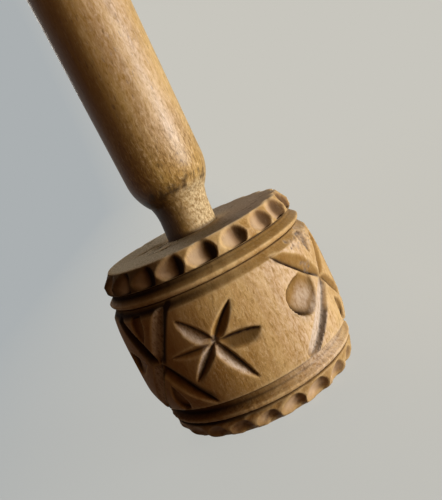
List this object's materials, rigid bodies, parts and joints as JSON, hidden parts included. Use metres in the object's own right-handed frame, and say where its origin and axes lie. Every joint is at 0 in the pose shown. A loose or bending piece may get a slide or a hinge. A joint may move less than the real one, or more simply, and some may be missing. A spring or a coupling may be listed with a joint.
{
  "type": "pastry stamp",
  "caption": "Turned and chip-carved wooden pastry stamp: a barrel-shaped head with scooped rims and a carved end face, wedged on the tenon of a plain tapered grip.",
  "frame": {"origin": "centre of the stamping face, where the stamp stands on a table", "axes": "+Z along the axis, from the stamping face to the free end of the handle; -Y is the side of the head with the whole star"},
  "size_m": [0.0484, 0.0484, 0.168],
  "materials": {
    "carved_wood": "worn bare wood with dark grime in the cuts",
    "handle_wood": "satin, polished by handling",
    "wedge_wood": "raw split wood"
  },
  "bodies": {
    "root": {"stamp_head": "carved_wood", "handle": "handle_wood", "fox_wedge": "wedge_wood"}
  },
  "joints": []
}
